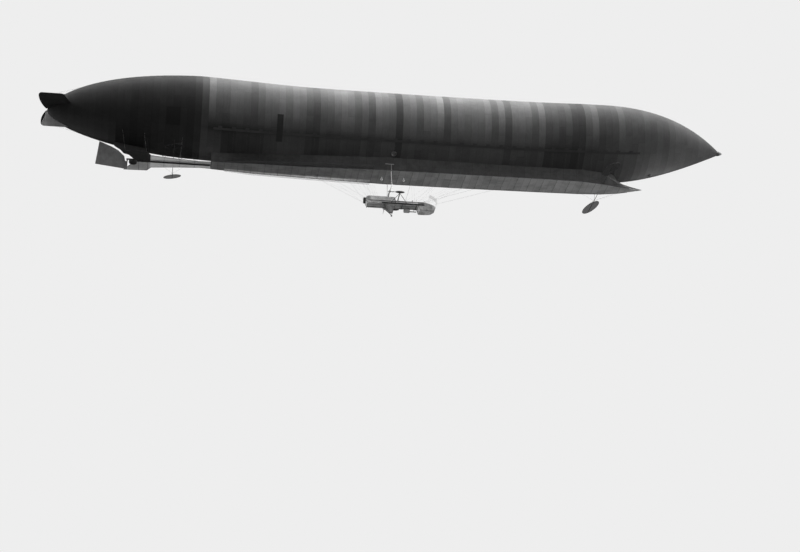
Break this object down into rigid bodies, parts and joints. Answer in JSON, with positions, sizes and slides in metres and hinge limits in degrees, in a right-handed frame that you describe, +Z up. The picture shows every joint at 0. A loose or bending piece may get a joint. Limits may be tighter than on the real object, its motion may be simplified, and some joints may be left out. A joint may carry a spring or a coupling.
{
  "type": "1:10 scale model of an early semi-rigid airship",
  "caption": "Long cloth envelope with a keel frame under its belly, stern fins, rudder, elevating planes and a hung car with side propellers.",
  "frame": {"origin": "middle of the envelope's axis at mid length, where the buoyant air holds the ship", "axes": "+X to the nose, +Y to port, +Z up"},
  "size_m": [10.423, 1.73, 2.0579],
  "materials": {
    "envelope_cloth": "rubbered cotton in sewn panels, dull",
    "pale_cloth": "doped pale cloth over ribs",
    "keel_cloth": "stretched grey cloth over tubes",
    "painted_tube": "dark enamel on steel tube",
    "bright_metal": "brushed sheet",
    "dark_metal": "blackened casting",
    "varnished_wood": "varnished laminated wood"
  },
  "bodies": {
    "airframe": {"envelope": "envelope_cloth", "envelope_stern": "envelope_cloth", "nose_mooring_cap": "bright_metal", "gas_valve_port": "bright_metal", "gas_valve_starboard": "bright_metal", "stern_fin_top": "pale_cloth", "stern_fin_port": "envelope_cloth", "stern_fin_bottom": "pale_cloth", "stern_fin_starboard": "envelope_cloth", "keel_frame": "keel_cloth", "keel_edge_plane_port": "pale_cloth", "keel_edge_plane_starboard": "pale_cloth", "stern_boom": "painted_tube", "boom_plane": "pale_cloth", "boom_fin": "keel_cloth", "front_outrigger_port": "painted_tube", "front_outrigger_starboard": "painted_tube", "aft_outrigger_port": "painted_tube", "aft_outrigger_starboard": "painted_tube", "car_hull": "keel_cloth", "engine_aft": "dark_metal", "engine_fore": "dark_metal", "gearbox": "dark_metal", "radiator_fore": "bright_metal", "radiator_aft": "dark_metal", "fuel_tank": "bright_metal", "air_fan": "pale_cloth", "exhaust_silencer": "dark_metal", "control_stand": "dark_metal", "rudder_wheel": "varnished_wood", "elevator_wheel": "varnished_wood", "bow_screen": "pale_cloth", "suspension_port": "painted_tube", "suspension_starboard": "painted_tube", "gear_housing_port": "dark_metal", "gear_housing_starboard": "dark_metal", "drive_outrigger_port": "painted_tube", "drive_outrigger_starboard": "painted_tube", "hub_stay_port": "painted_tube", "hub_stay_starboard": "painted_tube", "landing_pyramid": "painted_tube"},
    "rudder_blade": {"rudder": "pale_cloth"},
    "front_plane_port": {"elevator_front_port": "pale_cloth"},
    "front_plane_starboard": {"elevator_front_starboard": "pale_cloth"},
    "aft_plane_port": {"elevator_aft_port": "pale_cloth"},
    "aft_plane_starboard": {"elevator_aft_starboard": "pale_cloth"},
    "port_propeller": {"propeller_port": "varnished_wood"},
    "starboard_propeller": {"propeller_starboard": "varnished_wood"}
  },
  "joints": [
    {"name": "rudder_turn", "type": "hinge", "parent": "airframe", "child": "rudder_blade", "pos_m": [-3.93, 0, -0.86], "axis": [0, 0, 1], "range_deg": [-30, 30]},
    {"name": "front_plane_port_tilt", "type": "hinge", "parent": "airframe", "child": "front_plane_port", "pos_m": [3.22, 0.465, -0.76], "axis": [0, 1, 0], "range_deg": [-15, 65]},
    {"name": "front_plane_starboard_tilt", "type": "hinge", "parent": "airframe", "child": "front_plane_starboard", "pos_m": [3.22, -0.465, -0.76], "axis": [0, 1, 0], "range_deg": [-15, 65]},
    {"name": "aft_plane_port_tilt", "type": "hinge", "parent": "airframe", "child": "aft_plane_port", "pos_m": [-3.257, 0.435, -0.757], "axis": [0, 1, 0], "range_deg": [-20, 40]},
    {"name": "aft_plane_starboard_tilt", "type": "hinge", "parent": "airframe", "child": "aft_plane_starboard", "pos_m": [-3.257, -0.435, -0.757], "axis": [0, 1, 0], "range_deg": [-20, 40]},
    {"name": "propeller_port_spin", "type": "hinge", "parent": "airframe", "child": "port_propeller", "pos_m": [-0.063, 0.3, -1.177], "axis": [1, 0, 0], "continuous": true},
    {"name": "propeller_starboard_spin", "type": "hinge", "parent": "airframe", "child": "starboard_propeller", "pos_m": [-0.063, -0.3, -1.177], "axis": [1, 0, 0], "continuous": true}
  ],
  "couplings": [
    {"joint": "front_plane_starboard_tilt", "follows": "front_plane_port_tilt", "ratio": 1},
    {"joint": "aft_plane_starboard_tilt", "follows": "aft_plane_port_tilt", "ratio": 1}
  ]
}
